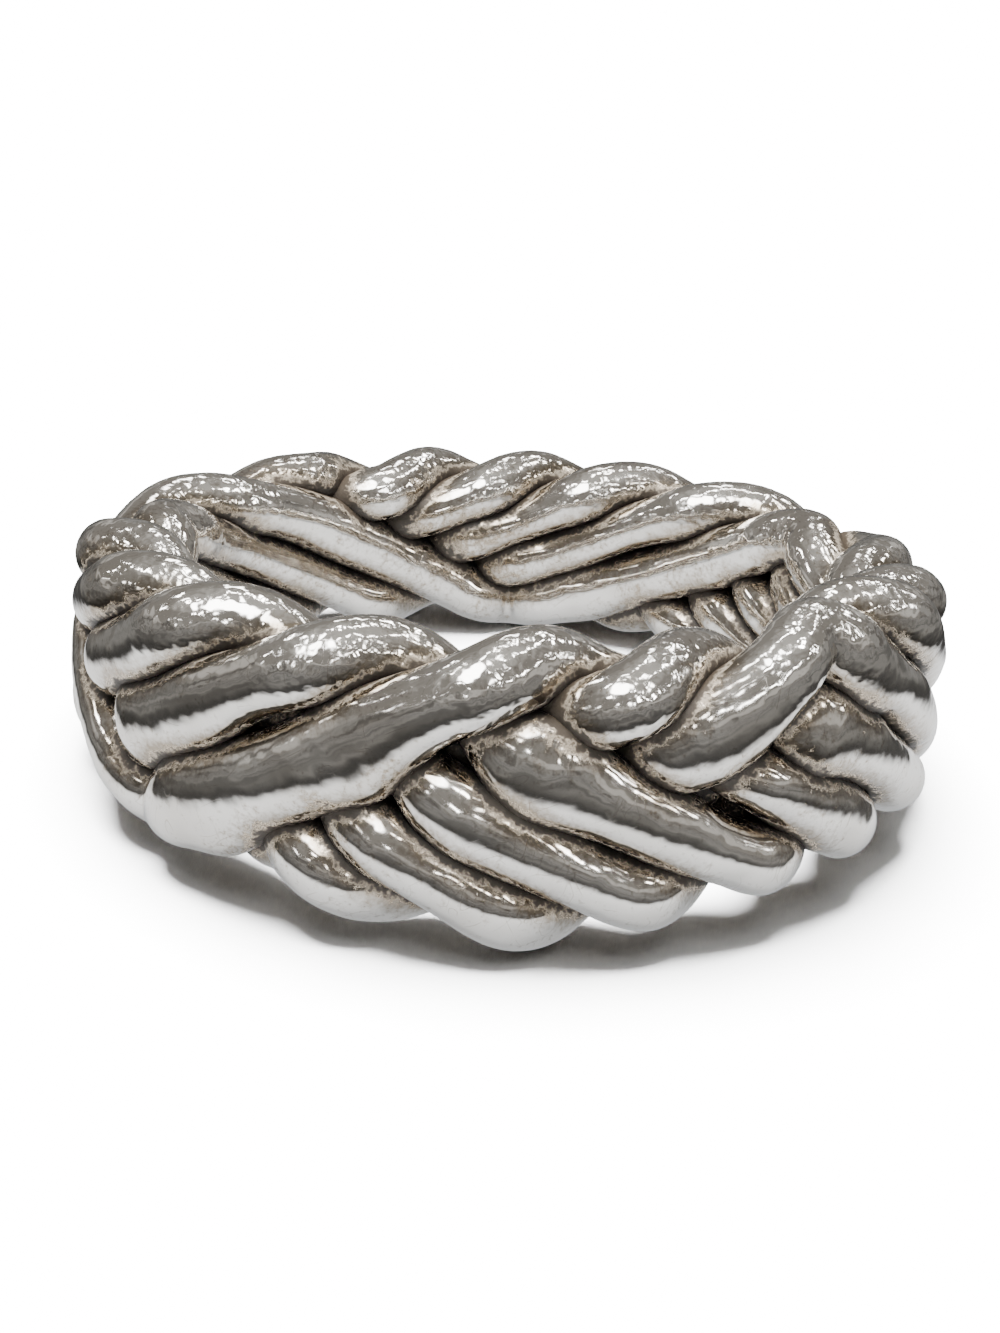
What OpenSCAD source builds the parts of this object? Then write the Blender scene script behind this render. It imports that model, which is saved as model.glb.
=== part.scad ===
/* [Band] */
// Inner diameter of the finger hole
finger_d = 17.4; // [14:0.1:22]
// Height of the band at the front, from edge to edge
front_h = 8.8; // [6:0.1:12]
// Height of the band at the back, from edge to edge
back_h = 5.4; // [4:0.1:9]
// How far each edge draws in at the sides
waist = 0.2; // [0:0.05:0.5]

/* [Strands] */
// Width of a strand's turn at the front edges
front_w = 1.65; // [1.4:0.05:2.4]
// Width of a strand's turn at the back edges
back_w = 1.15; // [1:0.05:2.2]
// Thickness of a strand at the front, across the wall
front_t = 1.75; // [1:0.05:2.2]
// Thickness of a strand at the back, across the wall
back_t = 1.5; // [1:0.05:2.2]
// Clearance between two strands where they cross
gap = 0.08; // [0.03:0.01:0.2]
// Share of its lane between two others that a strand fills
fill = 0.92; // [0.8:0.01:1]
// Share of its width and thickness that a strand loses where it dives between two others
pinch = 0.64; // [0:0.01:0.7]

/* [Hidden] */
NODES = ["strand_1", "strand_2", "strand_3", "strand_4", "strand_5", "strand_6"];

strands = len(NODES);
// One row for each loop over the upper edge, from the left front round to the right.
// over:  how many crossings, down from the upper edge, its rising leg passes outside
// tip:   place of its upper turn in the wall, from -1 inside to 1 outside
// foot:  place of the lower turn that its falling leg ends in, likewise
// turn:  degrees that the upper edge is moved along the band here
// slide: degrees that the lower edge is moved along the band at that lower turn
// lift:  rise of the upper edge here, as a share of the half height
// hem:   rise of the lower edge at that lower turn, likewise
over = 0;
tip = 1;
foot = 2;
turn = 3;
slide = 4;
lift = 5;
hem = 6;
chart = [
  // over, tip, foot, turn, slide, lift, hem
  [3, 0, 0, -5, 4, 0, 0.15],
  [4, 0, 0, -2, 2, -0.05, 0.25],
  [5, 0, 0, 2, -2, 0, 0.25],
  [1, 0, 0, 2, -3, -0.05, 0.2],
  [2, 0, 0, 5, -4, 0.2, 0.05],
  [0, 0, 0, 4, -4, 0.2, 0],
  [0, 0, 0, 3, -2, 0.05, 0],
  [0, 0, 0, 2, 0, 0, 0],
  [0, 0, 0, 2, 0, 0, 0],
  [1, 0, 0, 3, 0, 0, 0],
  [2, 0, 0, 3, 0, 0, 0],
  [3, 0, -0.1, 0, 1, 0, 0.2],
  [4, 0, 0, -3, 0, 0, 0.25],
  [5, 0, 0, -4, 2, 0, 0.15],
  [0, 0, 0, -1, 7, 0, 0.15],
  [0, -0.3, -0.4, 0, 6, 0, 0.2],
  [1, -0.3, 0, -2, 5, 0.05, 0.1],
  [2, 0.2, 0, -5, 6, 0, 0]
];
loops = len(chart);
pitch = 360 / loops;
// Angle round the finger of the first loop's upper turn, from the front
first_tip = -39.5;
// A leg from one edge to the other, and the whole loop
leg = strands * pitch / 2;
span = 2 * leg;
// A leg meets another strand at the end of each such step
key_step = leg / strands;
// Sharpness of the turns at the two edges, 90 is a point
turn_ang = 75;
// Share of the half height at which a leg begins to turn
turn_from = 0.6;
// Share of the way from a crossing to the turn beside it for which a strand keeps its side
turn_hold = 0.55;
// How gently a strand sets off to the other side, 0 at once and 1 slowly
ease = 0.3;
// Degrees ahead that a strand's direction is taken from
look_ahead = 0.05;
// Rings of points in each loop, and points round a strand
rings = 36;
sides = 12;

function mix(a, b, s) = a + (b - a) * s;
function smooth(s) = s * s * (3 - 2 * s);
// A value that goes evenly from front to back with the cosine of the angle
function taper(front, back, ang) = (front + back) / 2 + (front - back) / 2 * cos(ang);
function row(k) = chart[(k + loops) % loops];

// A column of the chart as a smooth value round the band, at an angle from the first row
function along(column, ang) =
  let (k = floor(ang / pitch))
  mix(row(k)[column], row(k + 1)[column], smooth(ang / pitch - k));

// The wall is two strands thick, and this is the distance of its middle from the axis
function mid_r(ang) = finger_d / 2 + taper(front_t, back_t, ang) + gap / 2;
function mid_z(ang) = taper(front_h, back_h, ang) / 2;
function half_h(ang) = mid_z(ang) - waist * (1 - cos(2 * ang)) / 2;

// Side of the wall at the steps of loop k, from one lower turn to the next, 1 is outside
function key_side(k, i) =
  i == 0 ? row(k - strands)[foot] :
  i < strands ? (strands - i <= row(k)[over] ? 1 : -1) :
  i == strands ? row(k)[tip] :
  i < 2 * strands ? (i - strands > row(k + i - strands)[over] ? 1 : -1) :
  row(k)[foot];
// How far a strand has changed over between two steps, which it does late or early beside a turn
function change(i, s) =
  i % strands == 0 ? min(1, s / (1 - turn_hold)) :
  i % strands == strands - 1 ? max(0, (s - turn_hold) / (1 - turn_hold)) :
  s;
function side_at(k, p) =
  let (i = floor(p / key_step), h = change(i, p / key_step - i))
  mix(key_side(k, i), key_side(k, i + 1), mix(h, smooth(h), ease));

// Rounded zigzag from -1 at the lower edge to 1 at the upper edge
function zigzag(p) = asin(sin(turn_ang) * sin(180 * p / leg - 90)) / turn_ang;
// How far a place on a leg is into the turn at its nearer edge
function near_turn(p) = smooth(max(0, (abs(zigzag(p)) - turn_from) / (1 - turn_from)));

// A place on loop k, at a chosen side of the wall
function place_at(k, p, side) =
  let (reach = zigzag(p),
       up = (1 + reach) / 2,
       flat = k * pitch - leg + p,
       ang = first_tip + flat + mix(along(slide, flat - leg), along(turn, flat), up),
       r = mid_r(ang) + side * (taper(front_t, back_t, ang) + gap) / 2,
       shift = mix(along(hem, flat - leg), along(lift, flat), up),
       z = mid_z(ang) + (reach + shift) * (half_h(ang) - taper(front_w, back_w, ang) / 2))
  [r * sin(ang), -r * cos(ang), z];
function path_at(k, p) =
  p < span ? place_at(k, p, side_at(k, p)) : path_at(k + strands, p - span);

function unit(v) = v / norm(v);
// Distance to the same place on a neighbouring loop, square to the strand and along the wall
function apart(k, p, side, across, next) =
  abs((place_at(k + next, p, side) - place_at(k, p, side)) * across);

function ring_at(k, p) =
  let (here = path_at(k, p),
       dir = unit(path_at(k, p + look_ahead) - here),
       ang = atan2(here[0], -here[1]),
       radial = [sin(ang), -cos(ang), 0],
       out = unit(radial - (radial * dir) * dir),
       across = cross(dir, out),
       side = side_at(k, p),
       slim = 1 - pinch * (1 - side * side) * (1 - near_turn(p)),
       lane = min(apart(k, p, side, across, 1), apart(k, p, side, across, -1)),
       w = slim * mix(fill * lane, taper(front_w, back_w, ang), near_turn(p)),
       t = slim * taper(front_t, back_t, ang))
  [for (j = [0 : sides - 1])
    let (a = 360 * j / sides)
    here + across * (w / 2 * cos(a)) + out * (t / 2 * sin(a))];

// One closed strand, which goes round the band once and over the upper edge on every sixth loop
module strand(first) {
  turns = loops / strands;
  count = turns * rings;
  points = [for (n = [0 : turns - 1], m = [0 : rings - 1])
    each ring_at(first + n * strands, m * span / rings)];
  faces = [for (n = [0 : count - 1], j = [0 : sides - 1])
    let (n2 = (n + 1) % count, j2 = (j + 1) % sides)
    [n * sides + j, n * sides + j2, n2 * sides + j2, n2 * sides + j]];
  // The front is thicker than the back, and the whole is centred rather than the hole
  translate([0, front_t - back_t, 0])
    polyhedron(points, faces, convexity = 10);
}

module strand_1() { color("silver") strand(0); }
module strand_2() { color("silver") strand(1); }
module strand_3() { color("silver") strand(2); }
module strand_4() { color("silver") strand(3); }
module strand_5() { color("silver") strand(4); }
module strand_6() { color("silver") strand(5); }

strand_1();
strand_2();
strand_3();
strand_4();
strand_5();
strand_6();
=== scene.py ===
import math
import bmesh
import bpy
from mathutils import Matrix, Vector


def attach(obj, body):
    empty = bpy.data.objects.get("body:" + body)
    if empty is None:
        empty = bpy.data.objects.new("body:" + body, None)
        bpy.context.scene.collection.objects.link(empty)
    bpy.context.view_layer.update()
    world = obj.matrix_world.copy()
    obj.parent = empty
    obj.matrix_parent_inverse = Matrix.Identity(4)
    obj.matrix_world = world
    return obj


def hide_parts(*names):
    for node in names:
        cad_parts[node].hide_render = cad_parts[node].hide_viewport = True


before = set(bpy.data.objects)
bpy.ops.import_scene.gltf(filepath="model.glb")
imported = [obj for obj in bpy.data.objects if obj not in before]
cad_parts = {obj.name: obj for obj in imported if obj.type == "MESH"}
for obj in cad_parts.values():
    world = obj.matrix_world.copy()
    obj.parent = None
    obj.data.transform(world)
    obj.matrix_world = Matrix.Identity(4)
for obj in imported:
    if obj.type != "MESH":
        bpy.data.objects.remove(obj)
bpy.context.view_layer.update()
mm = 0.001
print("frame loaded:", sorted(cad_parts))


def link(tree, source, target):
    tree.links.new(source, target)


def feed(tree, value, target):
    if isinstance(value, bpy.types.NodeSocket):
        link(tree, value, target)
    elif value is not None:
        target.default_value = value


def mathNode(tree, operation, a, b=None, clamp=False):
    node = tree.nodes.new("ShaderNodeMath")
    node.operation = operation
    node.use_clamp = clamp
    feed(tree, a, node.inputs[0])
    feed(tree, b, node.inputs[1])
    return node.outputs[0]


def vectorNode(tree, operation, a, b=None):
    node = tree.nodes.new("ShaderNodeVectorMath")
    node.operation = operation
    feed(tree, a, node.inputs[0])
    feed(tree, b, node.inputs["Scale" if operation == "SCALE" else 1])
    return node.outputs["Vector"]


def ramp(tree, value, low, high, toLow=0.0, toHigh=1.0):  # eased between two limits
    node = tree.nodes.new("ShaderNodeMapRange")
    node.interpolation_type = "SMOOTHSTEP"
    limits = {"Value": value, "From Min": low, "From Max": high, "To Min": toLow, "To Max": toHigh}
    for name, number in limits.items():
        feed(tree, number, node.inputs[name])
    return node.outputs["Result"]


def noiseNode(tree, vector, scale, detail=1.0, roughness=0.5, distortion=0.0):
    node = tree.nodes.new("ShaderNodeTexNoise")
    feed(tree, vector, node.inputs["Vector"])
    settings = {"Scale": scale, "Detail": detail, "Roughness": roughness, "Distortion": distortion}
    for name, number in settings.items():
        feed(tree, number, node.inputs[name])
    return node.outputs[0]


def colourMix(tree, factor, a, b):
    node = tree.nodes.new("ShaderNodeMix")
    node.data_type = "RGBA"
    feed(tree, factor, node.inputs["Factor"])
    feed(tree, (*a, 1) if isinstance(a, tuple) else a, node.inputs["A"])
    feed(tree, (*b, 1) if isinstance(b, tuple) else b, node.inputs["B"])
    return node.outputs["Result"]


def groupSocket(tree, name, kind, default=None, output=False):
    side = "OUTPUT" if output else "INPUT"
    made = tree.interface.new_socket(name, in_out=side, socket_type="NodeSocket" + kind)
    if default is not None:
        made.default_value = default


def namedAttribute(tree, name, kind):
    node = tree.nodes.new("GeometryNodeInputNamedAttribute")
    node.data_type = kind
    node.inputs["Name"].default_value = name
    return node.outputs["Attribute"]


def storeAttribute(tree, geometry, name, value):
    node = tree.nodes.new("GeometryNodeStoreNamedAttribute")
    node.data_type = "FLOAT"
    node.domain = "POINT"
    node.inputs["Name"].default_value = name
    link(tree, geometry, node.inputs["Geometry"])
    link(tree, value, node.inputs["Value"])
    return node.outputs["Geometry"]


# Where each strand runs. The plait is six wires, and each climbs over the upper edge three times.
plait = dict(
    fingerDiameter=17.4,     # mm, as are all lengths here
    frontHeight=8.8,
    backHeight=5.4,
    waist=0.2,               # how far the edges draw in at the sides
    frontThick=1.75,         # of one strand, across the wall
    backThick=1.5,
    frontTurn=2.1,           # width of a strand's turn at the front edges, fuller than the frame's
    backTurn=1.6,
    gap=0.08,
    firstTip=-39.5,          # degrees from the front to the first upper turn
    turnAngle=75,            # sharpness of the turns at the two edges, 90 is a point
    turnFrom=0.6,            # share of the half height at which a leg begins to turn
    turnHold=0.55,           # share of the way from a crossing to a turn for which a strand keeps its side
    ease=0.3,                # how gently it sets off to the other side, 0 at once and 1 slowly
    ringsPerLoop=270,        # points along a strand in each loop
)

# One row for each loop over the upper edge, from the left front round to the right.
# over:  how many crossings, down from the upper edge, its rising leg passes outside
# tip:   place of its upper turn in the wall, from -1 inside to 1 outside
# foot:  place of the lower turn that its falling leg ends in, likewise
# turn:  degrees that the upper edge is moved along the band here
# slide: degrees that the lower edge is moved along the band at that lower turn
# lift:  rise of the upper edge here, as a share of the half height
# hem:   rise of the lower edge at that lower turn, likewise
loopChart = [
    # over, tip, foot, turn, slide, lift, hem
    (3, 0, 0, -5, 4, 0, 0.15),
    (4, 0, 0, -2, 2, -0.05, 0.25),
    (5, 0, 0, 2, -2, 0, 0.25),
    (1, 0, 0, 2, -3, -0.05, 0.2),
    (2, 0, 0, 5, -4, 0.2, 0.05),
    (0, 0, 0, 4, -4, 0.2, 0),
    (0, 0, 0, 3, -2, 0.05, 0),
    (0, 0, 0, 2, 0, 0, 0),
    (0, 0, 0, 2, 0, 0, 0),
    (1, 0, 0, 3, 0, 0, 0),
    (2, 0, 0, 3, 0, 0, 0),
    (3, 0, -0.1, 0, 1, 0, 0.2),
    (4, 0, 0, -3, 0, 0, 0.25),
    (5, 0, 0, -4, 2, 0, 0.15),
    (0, 0, 0, -1, 7, 0, 0.15),
    (0, -0.3, -0.4, 0, 6, 0, 0.2),
    (1, -0.3, 0, -2, 5, 0.05, 0.1),
    (2, 0.2, 0, -5, 6, 0, 0),
]
overCol, tipCol, footCol, turnCol, slideCol, liftCol, hemCol = range(7)
strandCount = 6
loopCount = len(loopChart)
pitch = 360 / loopCount               # degrees from one loop to the next
legSpan = strandCount * pitch / 2     # from one edge to the other
loopSpan = 2 * legSpan


def mix(a, b, s):
    return a + (b - a) * s


def smoothStep(s):
    s = min(1, max(0, s))
    return s * s * (3 - 2 * s)


def taper(front, back, angle):  # goes evenly from front to back with the cosine of the angle
    return (front + back) / 2 + (front - back) / 2 * math.cos(math.radians(angle))


def chartRow(k):
    return loopChart[k % loopCount]


def along(column, angle):  # a column of the chart as a smooth value round the band
    k = math.floor(angle / pitch)
    return mix(chartRow(k)[column], chartRow(k + 1)[column], smoothStep(angle / pitch - k))


def keySide(k, i):  # side of the wall at the steps of loop k, from one lower turn to the next, 1 is outside
    if i == 0:
        return chartRow(k - strandCount)[footCol]
    if i < strandCount:
        return 1 if strandCount - i <= chartRow(k)[overCol] else -1
    if i == strandCount:
        return chartRow(k)[tipCol]
    if i < 2 * strandCount:
        return 1 if i - strandCount > chartRow(k + i - strandCount)[overCol] else -1
    return chartRow(k)[footCol]


def sideAt(k, p):
    i = math.floor(p / (legSpan / strandCount))
    s = p / (legSpan / strandCount) - i
    if i % strandCount == 0:
        s = min(1, s / (1 - plait["turnHold"]))
    elif i % strandCount == strandCount - 1:
        s = max(0, (s - plait["turnHold"]) / (1 - plait["turnHold"]))
    return mix(keySide(k, i), keySide(k, i + 1), mix(s, smoothStep(s), plait["ease"]))


def zigzag(p):  # rounded, from -1 at the lower edge to 1 at the upper edge
    sharp = math.radians(plait["turnAngle"])
    return math.asin(math.sin(sharp) * math.sin(math.radians(180 * p / legSpan - 90))) / sharp


def nearTurn(p):  # how far a place on a leg is into the turn at its nearer edge
    return smoothStep((abs(zigzag(p)) - plait["turnFrom"]) / (1 - plait["turnFrom"]))


def placeAt(k, p, side):  # a place on loop k, at a chosen side of the wall
    reach = zigzag(p)
    up = (1 + reach) / 2
    flat = k * pitch - legSpan + p
    angle = plait["firstTip"] + flat + mix(along(slideCol, flat - legSpan), along(turnCol, flat), up)
    thick = taper(plait["frontThick"], plait["backThick"], angle)
    midZ = taper(plait["frontHeight"], plait["backHeight"], angle) / 2
    halfHeight = midZ - plait["waist"] * (1 - math.cos(math.radians(2 * angle))) / 2
    turnWidth = taper(plait["frontTurn"], plait["backTurn"], angle)
    r = plait["fingerDiameter"] / 2 + thick + plait["gap"] / 2 + side * (thick + plait["gap"]) / 2
    shift = mix(along(hemCol, flat - legSpan), along(liftCol, flat), up)
    z = midZ + (reach + shift) * (halfHeight - turnWidth / 2)
    a = math.radians(angle)
    return Vector((r * math.sin(a), -r * math.cos(a), z))


def pathAt(k, p):
    if p >= loopSpan:
        return pathAt(k + strandCount, p - loopSpan)
    return placeAt(k, p, sideAt(k, p))


strandForm = dict(
    fill=1.0,                # share of its lane that a strand fills, over 1 it presses into its neighbours
    spread=0.24,             # how much wider it gets where its neighbour lies on the other side of the wall
    pinch=0.3,               # how much thinner it gets where it dives
    legReach=0.3,            # degrees ahead and behind that a strand's direction is taken from on a leg
    bendReach=4.5,           # and likewise in a turn, which smooths it
    easeRings=5,             # rings to each side over which kinks in the route are evened out
    bulk=1.12,               # thickness against the frame's
    inset=0.05,              # mm that its outer face stays inside the frame's
    sides=44,
    dentDepth=0.09,          # mm from the lowest dent to the highest swelling, if the noise ran from 0 to 1
    dentScale=560.0,         # per metre
    rippleDepth=0.024,
    rippleScale=2000.0,
    plainNoise=0.78,         # value of the noise at which the skin keeps to the oval, and below it swells
    seed=4.0,
    creviceReach=1.3,        # mm, how near another strand has to be to count
    creviceStart=0.03,       # mm below the skin, where the rays begin
    creviceRays=14,
    creviceLean=0.97,        # how far the rays spread, at 1 some would lie in the skin
    creviceBlur=2,
)


def routeRow(k, p):  # the middle of a strand at one place, with what its skin needs there
    here = pathAt(k, p)
    near = nearTurn(p)
    reach = mix(strandForm["legReach"], strandForm["bendReach"], near)
    behind = pathAt(k, p - reach) if p >= reach else pathAt(k - strandCount, p - reach + loopSpan)
    direction = (pathAt(k, p + reach) - behind).normalized()
    angle = math.degrees(math.atan2(here.x, -here.y))
    radial = Vector((here.x, here.y, 0)).normalized()
    out = (radial - radial.dot(direction) * direction).normalized()
    across = direction.cross(out)

    side = sideAt(k, p)
    lanes = []                 # to the neighbour on each side, one negative
    for step in (1, -1):
        parted = abs(sideAt(k + step, p) - side)
        lane = (placeAt(k + step, p, side) - placeAt(k, p, side)).dot(across)
        lanes.append(lane * (1 + strandForm["spread"] * parted))
    lane = (abs(lanes[0]) + abs(lanes[1])) / 2
    aside = across * (lanes[0] + lanes[1]) / 4 * strandForm["fill"] * (1 - near)  # to its freer side
    slim = 1 - strandForm["pinch"] * (1 - side * side) * (1 - near)
    turnWidth = taper(plait["frontTurn"], plait["backTurn"], angle)
    width = mix(strandForm["fill"] * lane, turnWidth, near) * slim
    thick = taper(plait["frontThick"], plait["backThick"], angle) * slim
    grown = thick * (strandForm["bulk"] - 1) / 2 + strandForm["inset"]  # into the wall, not out of it

    shift = Vector((0, plait["frontThick"] - plait["backThick"], 0))
    centre = (here + shift + aside - out * side * grown) * mm
    tip = near if zigzag(p) > 0 else 0.0
    return centre, across, out, width / 2 * mm, thick * strandForm["bulk"] / 2 * mm, tip


def routeOf(first):  # one whole strand, ring by ring
    ringCount = plait["ringsPerLoop"]
    rows = [routeRow(k, m * loopSpan / ringCount)
            for k in range(first, first + loopCount, strandCount) for m in range(ringCount)]
    return evened(evened(rows))


def evened(rows):  # a moving average of the middle, the width and the thickness
    reach = range(-strandForm["easeRings"], strandForm["easeRings"] + 1)
    count = len(rows)
    result = []
    for i, row in enumerate(rows):
        around = [rows[(i + j) % count] for j in reach]
        centre = sum((other[0] for other in around), Vector()) / len(reach)
        halfWidth, halfThick = (sum(other[column] for other in around) / len(reach) for column in (3, 4))
        result.append((centre, row[1], row[2], halfWidth, halfThick, row[5]))
    return result


def routeObject(name, first):
    rows = routeOf(first)
    count = len(rows)
    mesh = bpy.data.meshes.new(name)
    mesh.from_pydata([row[0] for row in rows], [(i, (i + 1) % count) for i in range(count)], [])
    for column, label in enumerate(("centre", "across", "outward", "halfWidth", "halfThick", "tip")):
        values = [row[column] for row in rows]
        if isinstance(values[0], float):
            mesh.attributes.new(label, "FLOAT", "POINT").data.foreach_set("value", values)
        else:
            flat = [number for vector in values for number in vector]
            mesh.attributes.new(label, "FLOAT_VECTOR", "POINT").data.foreach_set("vector", flat)
    strand = bpy.data.objects.new(name, mesh)
    bpy.context.scene.collection.objects.link(strand)
    return strand


def skinTree():  # sweeps an oval along the route and makes it uneven like worn cast silver
    tree = bpy.data.node_groups.new("strandSkin", "GeometryNodeTree")
    groupSocket(tree, "Geometry", "Geometry")
    groupSocket(tree, "Sides", "Int", 12)
    for name in ("Dent Depth", "Dent Scale", "Ripple Depth", "Ripple Scale", "Plain Noise", "Seed"):
        groupSocket(tree, name, "Float", 0.0)
    groupSocket(tree, "Silver", "Material")
    groupSocket(tree, "Geometry", "Geometry", output=True)
    nodes = tree.nodes
    given = nodes.new("NodeGroupInput").outputs

    toCurve = nodes.new("GeometryNodeMeshToCurve")
    link(tree, given["Geometry"], toCurve.inputs["Mesh"])
    oval = nodes.new("GeometryNodeCurvePrimitiveCircle")
    oval.mode = "RADIUS"
    oval.inputs["Radius"].default_value = mm
    link(tree, given["Sides"], oval.inputs["Resolution"])
    factor = nodes.new("GeometryNodeSplineParameter").outputs["Factor"]
    turned = mathNode(tree, "MULTIPLY", factor, 2 * math.pi)
    sweep = nodes.new("GeometryNodeCurveToMesh")
    link(tree, toCurve.outputs["Curve"], sweep.inputs["Curve"])
    profile = storeAttribute(tree, oval.outputs["Curve"], "roundTurn", turned)
    link(tree, profile, sweep.inputs["Profile Curve"])
    outside = nodes.new("GeometryNodeFlipFaces")  # the sweep comes out with its faces turned inward
    link(tree, sweep.outputs["Mesh"], outside.inputs["Mesh"])

    roundTurn = namedAttribute(tree, "roundTurn", "FLOAT")
    where = namedAttribute(tree, "centre", "FLOAT_VECTOR")
    for wave, size, direction in (("COSINE", "halfWidth", "across"), ("SINE", "halfThick", "outward")):
        share = mathNode(tree, wave, roundTurn)
        length = mathNode(tree, "MULTIPLY", share, namedAttribute(tree, size, "FLOAT"))
        offset = vectorNode(tree, "SCALE", namedAttribute(tree, direction, "FLOAT_VECTOR"), length)
        where = vectorNode(tree, "ADD", where, offset)
    place = nodes.new("GeometryNodeSetPosition")
    link(tree, outside.outputs["Mesh"], place.inputs["Geometry"])
    link(tree, where, place.inputs["Position"])

    worn = place.outputs["Geometry"]
    for size, depth in (("Dent Scale", "Dent Depth"), ("Ripple Scale", "Ripple Depth")):
        noise = nodes.new("ShaderNodeTexNoise")
        noise.noise_dimensions = "4D"
        noise.inputs["Detail"].default_value = 1.0
        link(tree, given[size], noise.inputs["Scale"])
        link(tree, given["Seed"], noise.inputs["W"])
        below = mathNode(tree, "SUBTRACT", given["Plain Noise"], noise.outputs[0])
        normal = nodes.new("GeometryNodeInputNormal").outputs["Normal"]
        swell = vectorNode(tree, "SCALE", normal, mathNode(tree, "MULTIPLY", below, given[depth]))
        uneven = nodes.new("GeometryNodeSetPosition")
        link(tree, worn, uneven.inputs["Geometry"])
        link(tree, swell, uneven.inputs["Offset"])
        worn = uneven.outputs["Geometry"]

    for name in ("centre", "across", "outward", "halfWidth", "halfThick", "roundTurn"):
        remove = nodes.new("GeometryNodeRemoveAttribute")
        remove.inputs["Name"].default_value = name
        link(tree, worn, remove.inputs["Geometry"])
        worn = remove.outputs["Geometry"]
    smooth = nodes.new("GeometryNodeSetShadeSmooth")
    link(tree, worn, smooth.inputs["Geometry"])
    finishTree(tree, smooth.outputs["Geometry"], given["Silver"])
    return tree


def finishTree(tree, geometry, material):
    realize = tree.nodes.new("GeometryNodeRealizeInstances")
    link(tree, geometry, realize.inputs["Geometry"])
    finish = tree.nodes.new("GeometryNodeSetMaterial")
    link(tree, realize.outputs["Geometry"], finish.inputs["Geometry"])
    link(tree, material, finish.inputs["Material"])
    result = tree.nodes.new("NodeGroupOutput")
    link(tree, finish.outputs["Geometry"], result.inputs["Geometry"])


def creviceTree():  # how near the other strands are behind each point, for the dark oxide and painted shade between them
    tree = bpy.data.node_groups.new("creviceDepth", "GeometryNodeTree")
    groupSocket(tree, "Geometry", "Geometry")
    groupSocket(tree, "Other Strands", "Object")
    groupSocket(tree, "Reach", "Float", 0.001)
    groupSocket(tree, "Start", "Float", 0.0)
    groupSocket(tree, "Silver", "Material")
    groupSocket(tree, "Geometry", "Geometry", output=True)
    nodes = tree.nodes
    given = nodes.new("NodeGroupInput").outputs
    others = nodes.new("GeometryNodeObjectInfo")
    link(tree, given["Other Strands"], others.inputs["Object"])
    normal = nodes.new("GeometryNodeInputNormal").outputs["Normal"]
    position = nodes.new("GeometryNodeInputPosition").outputs["Position"]
    start = vectorNode(tree, "SUBTRACT", position, vectorNode(tree, "SCALE", normal, given["Start"]))
    closed = None
    rays = strandForm["creviceRays"]
    lean = strandForm["creviceLean"]
    goldenAngle = math.pi * (3 - math.sqrt(5))
    for i in range(rays):  # directions spread evenly over the half sphere below the surface
        height = 1 - 2 * (i + 0.5) / rays
        level = lean * math.sqrt(1 - height * height)
        spread = (level * math.cos(i * goldenAngle), level * math.sin(i * goldenAngle), lean * height)
        ray = nodes.new("GeometryNodeRaycast")
        link(tree, others.outputs["Geometry"], ray.inputs["Target Geometry"])
        link(tree, start, ray.inputs["Source Position"])
        link(tree, vectorNode(tree, "SUBTRACT", spread, normal), ray.inputs["Ray Direction"])
        link(tree, given["Reach"], ray.inputs["Ray Length"])
        away = mathNode(tree, "DIVIDE", ray.outputs["Hit Distance"], given["Reach"])
        part = mathNode(tree, "MULTIPLY", ray.outputs["Is Hit"], mathNode(tree, "SUBTRACT", 1.0, away))
        closed = part if closed is None else mathNode(tree, "ADD", closed, part)
    blur = nodes.new("GeometryNodeBlurAttribute")
    blur.inputs["Iterations"].default_value = strandForm["creviceBlur"]
    link(tree, mathNode(tree, "DIVIDE", closed, float(rays)), blur.inputs["Value"])
    measured = storeAttribute(tree, given["Geometry"], "crevice", blur.outputs["Value"])
    nearest = nodes.new("GeometryNodeProximity")
    link(tree, others.outputs["Geometry"], nearest.inputs[0])
    gapAway = mathNode(tree, "DIVIDE", nearest.outputs["Distance"], mm)
    finishTree(tree, storeAttribute(tree, measured, "gapAway", gapAway), given["Silver"])
    return tree


def runTree(thing, tree, values):  # runs a tree on an object and leaves a plain mesh
    modifier = thing.modifiers.new(tree.name, "NODES")
    modifier.node_group = tree
    for item in tree.interface.items_tree:
        if item.item_type == "SOCKET" and item.in_out == "INPUT" and item.name in values:
            modifier[item.identifier] = values[item.name]
    bpy.context.view_layer.update()
    graph = bpy.context.evaluated_depsgraph_get()
    made = thing.evaluated_get(graph)
    mesh = bpy.data.meshes.new_from_object(made, preserve_all_data_layers=True, depsgraph=graph)
    thing.modifiers.clear()
    thing.data = mesh


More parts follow.
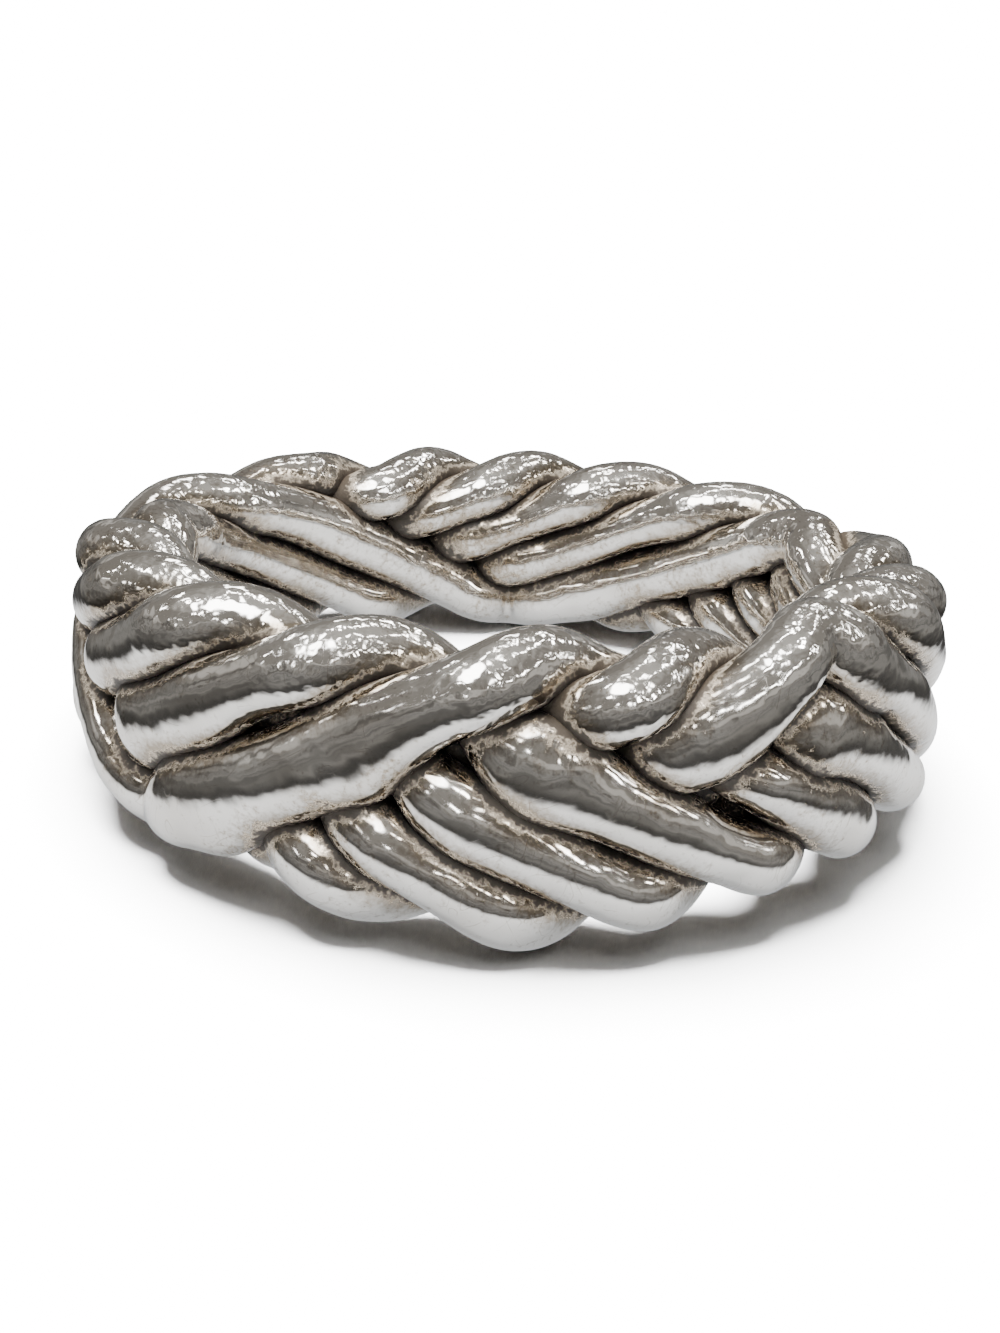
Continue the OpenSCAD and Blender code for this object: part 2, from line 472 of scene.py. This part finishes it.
silverLook = dict(
    bright=(0.86, 0.835, 0.79),
    shade=(0.36, 0.305, 0.235),      # browned metal, for random toning and scratches, and near the seams partly painted shade
    # dark brown-black of the oxide, also used as painted shade in the grooves between strands
    oxideAndShade=(0.020, 0.0155, 0.011),
    toneFrom=0.35,                   # value of the broad noise at which toning begins, and where it is full
    toneTo=0.75,
    toneShare=0.25,                  # how far the toning goes towards the shade
    lineShare=0.30,                  # and a scratch
    oxideAndShadeFrom=0.15,                  # crevice value at which oxide and painted shade begin, and where they are full
    oxideAndShadeTo=0.32,
    oxideAndShadeTorn=0.35,                  # how much grain frays the edge of the oxide and painted shade
    stainAndShadeFrom=0.03,                  # likewise for the brown stain and painted shade round it
    stainAndShadeTo=0.24,
    stainAndShadeTorn=0.30,
    seamFrom=0.14,                   # mm to the next strand at which oxide and painted shade are full, and where they end
    seamTo=0.40,
    brownAndShadeFrom=0.20,                  # mm to it at which the metal is fully browned by patina and painted shade, and where that ends
    brownAndShadeTo=0.90,
    seamTorn=0.45,
    smoothest=0.04,                  # roughness of the brightest metal, and what is added to it
    mottleRough=0.12,
    lineRough=0.12,
    oxideRough=0.40,
    oxideDull=0.60,                  # how much less metallic the oxide is
    toneScale=420.0,                 # per metre, as are all scales here
    mottleScale=1500.0,
    hammerScale=2700.0,
    pitScale=3600.0,
    grainScale=7500.0,
    bumpDepth=0.03,                  # mm for a height of 1
    mottleHeight=0.8,
    hammerTip=(0.1, 0.9),            # how far into an upper turn the hammering grows
    hammerHeight=(0.18, 1.5),        # from its height on the legs to that on the turn
    grainCrevice=(0.08, 0.30),       # crevice value over which the grain grows
    grainHeight=(0.02, 0.40),
    lineHeight=0.011,
    lineStretch=(0.07, 1.0, 1.0),    # a scratch is drawn out along its first axis
    linePatchScale=900.0,
    linePatchEdge=0.06,
)

# One row for each set of scratches.
# turn:  how its lines are turned, in radians
# scale: of the noise that they are drawn from, per metre
# width: of a line, as a share of that noise
# cover: value of the patchy noise above which the lines show
scratchSets = [
    # turn, scale, width, cover
    ((0.3, 0.5, 0.4), 2600.0, 0.020, 0.58),
    ((1.2, -0.6, 2.0), 2100.0, 0.016, 0.60),
    ((-0.7, 1.1, -1.1), 3200.0, 0.024, 0.58),
    ((0.1, -0.3, 1.3), 1500.0, 0.010, 0.58),
]


def scratchGroup():  # thin worn lines in one direction, 1 on a line
    tree = bpy.data.node_groups.new("fineScratches", "ShaderNodeTree")
    groupSocket(tree, "Vector", "Vector")
    groupSocket(tree, "Turn", "Vector")
    groupSocket(tree, "Scale", "Float", 1500.0)
    groupSocket(tree, "Line Width", "Float", 0.02)
    groupSocket(tree, "Cover", "Float", 0.5)
    groupSocket(tree, "Line", "Float", output=True)
    given = tree.nodes.new("NodeGroupInput").outputs
    turn = tree.nodes.new("ShaderNodeVectorRotate")
    turn.rotation_type = "EULER_XYZ"
    link(tree, given["Vector"], turn.inputs["Vector"])
    link(tree, given["Turn"], turn.inputs["Rotation"])
    drawn = vectorNode(tree, "MULTIPLY", turn.outputs["Vector"], silverLook["lineStretch"])
    waves = noiseNode(tree, drawn, given["Scale"], detail=0.0)
    away = mathNode(tree, "ABSOLUTE", mathNode(tree, "SUBTRACT", waves, 0.5))
    line = mathNode(tree, "SUBTRACT", 1.0, ramp(tree, away, 0.0, given["Line Width"]))
    patches = noiseNode(tree, turn.outputs["Vector"], silverLook["linePatchScale"], detail=1.0)
    full = mathNode(tree, "ADD", given["Cover"], silverLook["linePatchEdge"])
    shown = ramp(tree, patches, given["Cover"], full)
    result = tree.nodes.new("NodeGroupOutput")
    link(tree, mathNode(tree, "MULTIPLY", line, shown), result.inputs["Line"])
    return tree


def scratchLines(tree, place):  # all the sets together
    scratches = scratchGroup()
    lines = None
    for turnBy, scale, width, cover in scratchSets:
        group = tree.nodes.new("ShaderNodeGroup")
        group.node_tree = scratches
        link(tree, place, group.inputs["Vector"])
        for name, value in {"Turn": turnBy, "Scale": scale, "Line Width": width, "Cover": cover}.items():
            group.inputs[name].default_value = value
        line = group.outputs["Line"]
        lines = line if lines is None else mathNode(tree, "MAXIMUM", lines, line)
    return lines


def silverMaterial():
    look = silverLook
    material = bpy.data.materials.new("wornSilver")
    material.use_nodes = True
    tree = material.node_tree
    nodes = tree.nodes
    shader = nodes["Principled BSDF"]
    place = nodes.new("ShaderNodeTexCoord").outputs["Object"]
    measured = []
    for name in ("crevice", "gapAway", "tip"):
        measured.append(nodes.new("ShaderNodeAttribute"))
        measured[-1].attribute_name = name
    crevice, gapAway, tip = (node.outputs["Fac"] for node in measured)

    lines = scratchLines(tree, place)
    grain = noiseNode(tree, place, look["grainScale"], detail=2.0, roughness=0.6)
    mottle = noiseNode(tree, place, look["mottleScale"], detail=1.0)
    pits = noiseNode(tree, place, look["pitScale"], detail=2.0, roughness=0.55)
    tone = noiseNode(tree, place, look["toneScale"], detail=2.0)
    uneven = mathNode(tree, "SUBTRACT", mathNode(tree, "ADD", grain, pits), 1.0)

    # Oxide in the crevices and along the seams, widened to also paint the shade that falls between the
    # strands.
    dirty = mathNode(tree, "ADD", crevice, mathNode(tree, "MULTIPLY", uneven, look["oxideAndShadeTorn"]))
    deep = ramp(tree, dirty, look["oxideAndShadeFrom"], look["oxideAndShadeTo"])
    torn = mathNode(tree, "SUBTRACT", gapAway, mathNode(tree, "MULTIPLY", uneven, look["seamTorn"]))
    seam = ramp(tree, torn, look["seamFrom"], look["seamTo"], 1.0, 0.0)
    oxideAndShade = mathNode(tree, "MAXIMUM", deep, seam)

    # Brown near the crevices and seams: partly patina, partly painted shade and reflection of the
    # neighbouring strands.
    frayedStainAndShade = mathNode(tree, "ADD", crevice, mathNode(tree, "MULTIPLY", uneven, look["stainAndShadeTorn"]))
    stainAndShade = mathNode(tree, "MAXIMUM", ramp(tree, frayedStainAndShade, look["stainAndShadeFrom"], look["stainAndShadeTo"]),
                     ramp(tree, torn, look["brownAndShadeFrom"], look["brownAndShadeTo"], 1.0, 0.0))
    toned = mathNode(tree, "MULTIPLY", ramp(tree, tone, look["toneFrom"], look["toneTo"]), look["toneShare"])
    nicked = mathNode(tree, "MULTIPLY", lines, look["lineShare"])
    shaded = mathNode(tree, "ADD", mathNode(tree, "ADD", toned, nicked), stainAndShade, clamp=True)
    metal = colourMix(tree, shaded, look["bright"], look["shade"])
    link(tree, colourMix(tree, oxideAndShade, metal, look["oxideAndShade"]), shader.inputs["Base Color"])

    rough = mathNode(tree, "ADD", mathNode(tree, "MULTIPLY", mottle, look["mottleRough"]), look["smoothest"])
    rough = mathNode(tree, "ADD", rough, mathNode(tree, "MULTIPLY", lines, look["lineRough"]))
    rough = mathNode(tree, "ADD", rough, mathNode(tree, "MULTIPLY", oxideAndShade, look["oxideRough"]), clamp=True)
    link(tree, rough, shader.inputs["Roughness"])
    dull = mathNode(tree, "MULTIPLY", oxideAndShade, look["oxideDull"])
    link(tree, mathNode(tree, "SUBTRACT", 1.0, dull), shader.inputs["Metallic"])

    hammering = ramp(tree, tip, *look["hammerTip"], *look["hammerHeight"])
    hammered = mathNode(tree, "MULTIPLY", noiseNode(tree, place, look["hammerScale"]), hammering)
    graining = ramp(tree, crevice, *look["grainCrevice"], *look["grainHeight"])
    grainy = mathNode(tree, "MULTIPLY", grain, graining)
    height = mathNode(tree, "ADD", hammered, grainy)
    height = mathNode(tree, "ADD", height, mathNode(tree, "MULTIPLY", mottle, look["mottleHeight"]))
    height = mathNode(tree, "SUBTRACT", height, mathNode(tree, "MULTIPLY", lines, look["lineHeight"]))
    bump = nodes.new("ShaderNodeBump")
    bump.inputs["Strength"].default_value = 1.0
    bump.inputs["Distance"].default_value = look["bumpDepth"] * mm
    link(tree, height, bump.inputs["Height"])
    link(tree, bump.outputs["Normal"], shader.inputs["Normal"])
    return material


silver = silverMaterial()
skin = skinTree()
strands = []
for first in range(strandCount):
    strand = routeObject(f"silverStrand{first + 1}", first)
    runTree(strand, skin, {
        "Sides": strandForm["sides"],
        "Dent Depth": strandForm["dentDepth"] * mm,
        "Dent Scale": strandForm["dentScale"],
        "Ripple Depth": strandForm["rippleDepth"] * mm,
        "Ripple Scale": strandForm["rippleScale"],
        "Plain Noise": strandForm["plainNoise"],
        "Seed": strandForm["seed"],
        "Silver": silver,
    })
    strands.append(strand)
print("strands swept:", [len(strand.data.polygons) for strand in strands], "faces")

creviceFinder = creviceTree()
bare = [strand.data.copy() for strand in strands]
for number, strand in enumerate(strands, 1):
    joined = bmesh.new()
    for mesh in bare[:number - 1] + bare[number:]:
        joined.from_mesh(mesh)
    othersMesh = bpy.data.meshes.new("otherStrands")
    joined.to_mesh(othersMesh)
    joined.free()
    others = bpy.data.objects.new("otherStrands", othersMesh)
    bpy.context.scene.collection.objects.link(others)
    runTree(strand, creviceFinder, {
        "Other Strands": others,
        "Reach": strandForm["creviceReach"] * mm,
        "Start": strandForm["creviceStart"] * mm,
        "Silver": silver,
    })
    bpy.data.objects.remove(others)
    strand.data.name = strand.name
    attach(strand, "root")
    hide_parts(f"strand_{number}")
print("crevices measured")

floorLook = dict(
    paper=(0.95, 0.95, 0.95),
    roughness=0.7,
    specular=0.2,
    halfSize=2.0,                    # metres
    sunk=0.00002,                    # metres that the floor lies below the ring
    mirrored=(0.60, 0.62, 0.645),    # how brightly the paper glows where the silver mirrors it, a painted reflection of lit paper
    mirroredShade=0.055,             # and how much of the light on it shows besides
    paperEdge=(0.020, 0.019, 0.018),  # what the silver mirrors where the paper ends
    beyond=(0.07, 0.067, 0.062),     # and past it, with paler patches
    beyondPale=(0.21, 0.205, 0.195),
    beyondScale=45.0,                # per metre
    beyondPatches=(0.40, 0.60),
    fade=(0.0158, 0.0190),           # metres from the middle of the ring, where the mirrored paper ends
    edgeFade=(0.018, 0.028),         # and where its dark edge does
)


def paperMaterial():
    look = floorLook
    material = bpy.data.materials.new("whitePaper")
    material.use_nodes = True
    tree = material.node_tree
    shader = tree.nodes["Principled BSDF"]
    shader.inputs["Roughness"].default_value = look["roughness"]
    shader.inputs["Specular IOR Level"].default_value = look["specular"]
    place = tree.nodes.new("ShaderNodeTexCoord").outputs["Object"]
    far = tree.nodes.new("ShaderNodeVectorMath")
    far.operation = "LENGTH"
    link(tree, place, far.inputs[0])
    near = ramp(tree, far.outputs["Value"], *look["fade"], 1.0, 0.0)
    path = tree.nodes.new("ShaderNodeLightPath").outputs
    mirrored = path["Is Glossy Ray"]
    shade = mathNode(tree, "MULTIPLY", near, look["mirroredShade"])
    link(tree, colourMix(tree, mirrored, look["paper"], shade), shader.inputs["Base Color"])
    table = ramp(tree, noiseNode(tree, place, look["beyondScale"], detail=2.0), *look["beyondPatches"])
    table = colourMix(tree, table, look["beyond"], look["beyondPale"])
    beyond = colourMix(tree, ramp(tree, far.outputs["Value"], *look["edgeFade"]), look["paperEdge"], table)
    # The paper glows only for rays from the silver: a painted reflection of lit paper, dark at its edge and
    # with pale patches past it.
    link(tree, colourMix(tree, near, beyond, look["mirrored"]), shader.inputs["Emission Color"])
    direct = mathNode(tree, "SUBTRACT", mirrored, path["Diffuse Depth"], clamp=True)  # seen in silver alone
    link(tree, direct, shader.inputs["Emission Strength"])
    return material


half = floorLook["halfSize"]
floorMesh = bpy.data.meshes.new("floor")
floorCorners = [(-half, -half, 0), (half, -half, 0), (half, half, 0), (-half, half, 0)]
floorMesh.from_pydata(floorCorners, [], [(0, 1, 2, 3)])
floorMesh.materials.append(paperMaterial())
floor = bpy.data.objects.new("floor", floorMesh)
floor.location.z = -floorLook["sunk"]
bpy.context.scene.collection.objects.link(floor)

studio = dict(
    low=(0.13, 0.124, 0.115),        # just above the horizon
    lowPale=(0.32, 0.313, 0.30),     # paler patches there
    middle=(0.27, 0.256, 0.236),
    high=(0.60, 0.583, 0.555),
    roomScale=3.1,                   # of the unevenness of the room
    roomSwing=1.1,                   # how far it moves the tones up and down
    patchScale=7.0,
    patchShare=(0.44, 0.56),
    middleUp=(0.02, 0.30),           # from which height in the room to which each tone takes over
    highUp=(0.55, 1.0),
    windowGlow=14.0,
    windowToward=(-0.25, -0.40, 0.88),
    windowSpan=(0.95, 0.975),
    strip=(0.62, 0.60, 0.57),        # a pale band low on the walls
    stripUp=(0.13, 0.16, 0.24, 0.28),
    stripShare=(0.42, 0.55),
    keyPlace=(-0.035, 0.05, 0.40),   # metres, above and a little behind
    keySize=0.32,
    keyPower=35.0,                   # watts
    fillPlace=(0, 0, 0.5),
    fillSize=0.8,
    fillPower=2.6,                   # it fills the shadows
)

# Round lamps scattered over the room, a row for each kind.
# scale:  how closely they are scattered
# core:   size of the full glow
# rim:    size at which it has faded
# glow:   how bright they are
# fromUp: height in the room from which they show
lampSets = [
    # scale, core, rim, glow, fromUp
    (2.3, 0.12, 0.20, 14.0, 0.45),
    (4.4, 0.165, 0.24, 24.0, 0.22),
]
lampRise = 0.25                      # height over which they come in


def studioWorld():
    world = bpy.data.worlds.new("studio")
    world.use_nodes = True
    tree = world.node_tree
    direction = tree.nodes.new("ShaderNodeTexCoord").outputs["Generated"]
    parts = tree.nodes.new("ShaderNodeSeparateXYZ")
    link(tree, direction, parts.inputs["Vector"])
    up = parts.outputs["Z"]
    room = noiseNode(tree, direction, studio["roomScale"], detail=3.0, distortion=0.6)
    swing = mathNode(tree, "MULTIPLY", mathNode(tree, "SUBTRACT", room, 0.5), studio["roomSwing"])
    lifted = mathNode(tree, "ADD", up, swing)
    patches = noiseNode(tree, direction, studio["patchScale"], detail=2.0, distortion=0.4)
    sky = colourMix(tree, ramp(tree, patches, *studio["patchShare"]), studio["low"], studio["lowPale"])
    sky = colourMix(tree, ramp(tree, lifted, *studio["middleUp"]), sky, studio["middle"])
    sky = colourMix(tree, ramp(tree, lifted, *studio["highUp"]), sky, studio["high"])
    for scale, core, rim, glow, fromUp in lampSets:
        cells = tree.nodes.new("ShaderNodeTexVoronoi")
        cells.inputs["Scale"].default_value = scale
        link(tree, direction, cells.inputs["Vector"])
        lamp = mathNode(tree, "SUBTRACT", 1.0, ramp(tree, cells.outputs["Distance"], core, rim))
        lamp = mathNode(tree, "MULTIPLY", lamp, ramp(tree, up, fromUp, fromUp + lampRise))
        sky = colourMix(tree, lamp, sky, (glow, glow, glow))
    window = tree.nodes.new("ShaderNodeVectorMath")
    window.operation = "DOT_PRODUCT"
    link(tree, direction, window.inputs[0])
    window.inputs[1].default_value = Vector(studio["windowToward"]).normalized()
    pane = ramp(tree, window.outputs["Value"], *studio["windowSpan"])
    sky = colourMix(tree, pane, sky, tuple([studio["windowGlow"]] * 3))
    bottom, full, fades, top = studio["stripUp"]
    strip = mathNode(tree, "MULTIPLY", ramp(tree, up, bottom, full), ramp(tree, up, fades, top, 1.0, 0.0))
    strip = mathNode(tree, "MULTIPLY", strip, ramp(tree, room, *studio["stripShare"]))
    sky = colourMix(tree, strip, sky, studio["strip"])
    link(tree, sky, tree.nodes["Background"].inputs["Color"])
    world.cycles_visibility.diffuse = False  # the silver mirrors the room, and the lamps light the paper
    return world


bpy.context.scene.world = studioWorld()


def softLight(name):  # a round lamp that shines on the ring, and that the silver doesn't mirror
    data = bpy.data.lights.new(name, "AREA")
    data.shape = "DISK"
    data.size = studio[name + "Size"]
    data.energy = studio[name + "Power"]
    lamp = bpy.data.objects.new(name, data)
    lamp.location = studio[name + "Place"]
    lamp.rotation_euler = (-lamp.location).to_track_quat("-Z", "Y").to_euler()
    lamp.visible_glossy = False
    bpy.context.scene.collection.objects.link(lamp)


softLight("key")
softLight("fill")
print("floor and lights placed")

view = dict(
    distance=100.0,          # mm from the camera to what it aims at
    elevation=24.0,
    roll=3.6,
    target=(0.0, 0.25, 3.8),
    lens=97.25,
    targetPixel=(508, 640),  # where in the photograph that place is
    photoSize=(1000, 1333),
    sensorHeight=36,
    clipStart=0.001,         # metres
    clipEnd=20,
)
cameraData = bpy.data.cameras.new("camera")
cameraData.sensor_fit = "VERTICAL"
cameraData.sensor_height = view["sensorHeight"]
cameraData.lens = view["lens"]
cameraData.clip_start = view["clipStart"]
cameraData.clip_end = view["clipEnd"]
photoWidth, photoHeight = view["photoSize"]
cameraData.shift_x = (photoWidth / 2 - view["targetPixel"][0]) / photoHeight
cameraData.shift_y = (view["targetPixel"][1] - photoHeight / 2) / photoHeight
camera = bpy.data.objects.new("camera", cameraData)
elevation = math.radians(view["elevation"])
away = Vector((0, -math.cos(elevation), math.sin(elevation))) * view["distance"] * mm
turn = (-away).to_track_quat("-Z", "Y").to_matrix() @ Matrix.Rotation(math.radians(view["roll"]), 3, "Z")
camera.matrix_world = Matrix.Translation(Vector(view["target"]) * mm + away) @ turn.to_4x4()
bpy.context.scene.collection.objects.link(camera)
bpy.context.scene.camera = camera
